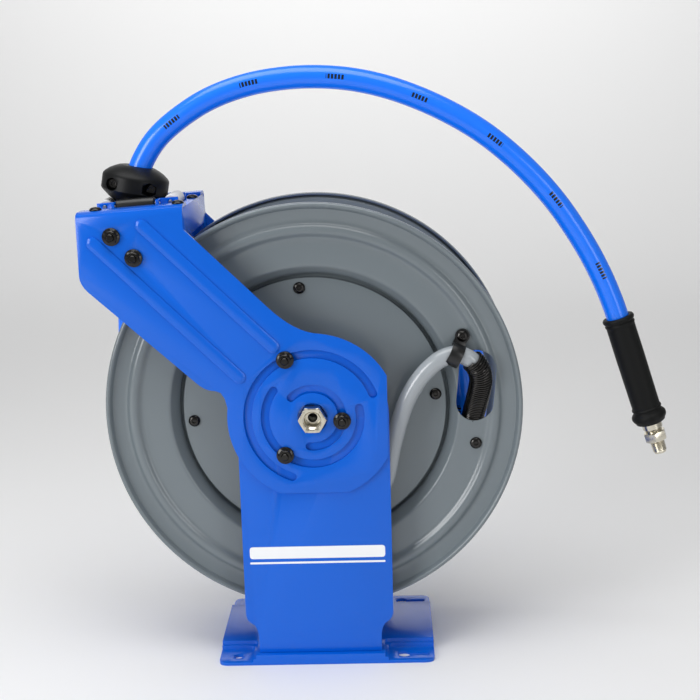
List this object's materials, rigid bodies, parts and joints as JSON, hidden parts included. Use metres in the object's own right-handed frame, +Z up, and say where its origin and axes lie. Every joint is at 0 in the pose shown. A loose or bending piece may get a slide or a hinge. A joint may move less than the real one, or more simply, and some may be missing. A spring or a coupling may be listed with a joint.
{
  "type": "spring-retractable air hose reel",
  "caption": "Free-standing spring-retractable air hose reel: stamped grey drum between blue guide arms with hose rollers, hose stop, leader hose and grip.",
  "frame": {"origin": "on the floor under the middle of the reel's outline, measured without the free hose", "axes": "+X to the right seen from the inlet side, -Y towards the inlet side, +Z up"},
  "size_m": [0.5327, 0.17, 0.5441],
  "materials": {
    "blue_powder_coat": "gloss powder coat",
    "grey_enamel": "gloss enamel",
    "black_oxide_steel": "black oxide",
    "zinc_steel": "zinc plated",
    "spring_steel": "oiled strip",
    "brass": "turned",
    "nickel_plate": "satin nickel plate",
    "black_rubber": "matt moulded rubber",
    "black_nylon": "moulded nylon",
    "pale_nylon": "moulded nylon",
    "blue_hose": "smooth extruded hose cover",
    "grey_hose": "smooth extruded hose cover"
  },
  "bodies": {
    "stand": {"base_plate": "blue_powder_coat", "front_upright": "blue_powder_coat", "rear_upright": "blue_powder_coat", "main_axle": "zinc_steel", "axle_collar": "zinc_steel", "axle_nut": "black_oxide_steel", "spring_arbor": "zinc_steel", "hub_bolt_front_1": "black_oxide_steel", "hub_bolt_front_2": "black_oxide_steel", "hub_bolt_front_3": "black_oxide_steel", "hub_bolt_rear_1": "black_oxide_steel", "hub_bolt_rear_2": "black_oxide_steel", "hub_bolt_rear_3": "black_oxide_steel", "pawl_pin": "black_oxide_steel"},
    "drum": {"front_flange": "grey_enamel", "rear_flange": "grey_enamel", "drum_core": "grey_enamel", "front_cover": "grey_enamel", "rear_cover": "grey_enamel", "front_bearing": "brass", "rear_bearing": "brass", "spring_case": "zinc_steel", "mainspring": "spring_steel", "ratchet_wheel": "zinc_steel", "swivel_housing": "brass", "leader_hose": "grey_hose", "hose_guard": "black_oxide_steel", "hose_clamp": "black_nylon", "clamp_screw": "black_oxide_steel", "flange_screw": "black_oxide_steel", "hose_coupling": "brass", "hose_windings": "blue_hose"},
    "guide": {"front_guide_arm": "blue_powder_coat", "rear_guide_arm": "blue_powder_coat", "roller_bracket": "blue_powder_coat", "left_roller_pin": "zinc_steel", "right_roller_pin": "zinc_steel", "front_roller_pin": "zinc_steel", "rear_roller_pin": "zinc_steel", "head_bolt_front_1": "black_oxide_steel", "head_bolt_front_2": "black_oxide_steel", "head_bolt_rear_1": "black_oxide_steel", "head_bolt_rear_2": "black_oxide_steel", "hose_lead": "blue_hose", "free_hose": "blue_hose", "stop_front_half": "black_rubber", "stop_rear_half": "black_rubber", "stop_screw_left": "black_oxide_steel", "stop_screw_right": "black_oxide_steel", "hose_grip": "black_rubber", "end_fitting": "nickel_plate"},
    "inlet": {"inlet_fitting": "nickel_plate"},
    "pawl": {"latch_pawl": "zinc_steel"},
    "left_roller_body": {"left_roller": "pale_nylon"},
    "right_roller_body": {"right_roller": "pale_nylon"},
    "front_roller_body": {"front_roller": "black_nylon"},
    "rear_roller_body": {"rear_roller": "black_nylon"}
  },
  "joints": [
    {"name": "drum_spin", "type": "hinge", "parent": "stand", "child": "drum", "pos_m": [0.00525, 0, 0.236], "axis": [0, 1, 0], "continuous": true},
    {"name": "guide_arm_adjust", "type": "hinge", "parent": "stand", "child": "guide", "pos_m": [0.00525, 0, 0.236], "axis": [0, 1, 0], "range_deg": [-88, 30]},
    {"name": "inlet_swivel", "type": "hinge", "parent": "stand", "child": "inlet", "pos_m": [0.00525, -0.085, 0.236], "axis": [0, 1, 0], "continuous": true},
    {"name": "latch_pawl_turn", "type": "hinge", "parent": "stand", "child": "pawl", "pos_m": [0.05925, 0.046, 0.168], "axis": [0, 1, 0], "range_deg": [0, 13.5]},
    {"name": "left_roller_spin", "type": "hinge", "parent": "guide", "child": "left_roller_body", "pos_m": [-0.17914, 0, 0.42346], "axis": [0, 1, 0], "continuous": true},
    {"name": "right_roller_spin", "type": "hinge", "parent": "guide", "child": "right_roller_body", "pos_m": [-0.11924, 0, 0.42705], "axis": [0, 1, 0], "continuous": true},
    {"name": "front_roller_spin", "type": "hinge", "parent": "guide", "child": "front_roller_body", "pos_m": [-0.14919, -0.031, 0.42526], "axis": [0.9982, 0, 0.0598], "continuous": true},
    {"name": "rear_roller_spin", "type": "hinge", "parent": "guide", "child": "rear_roller_body", "pos_m": [-0.14919, 0.031, 0.42526], "axis": [0.9982, 0, 0.0598], "continuous": true}
  ]
}
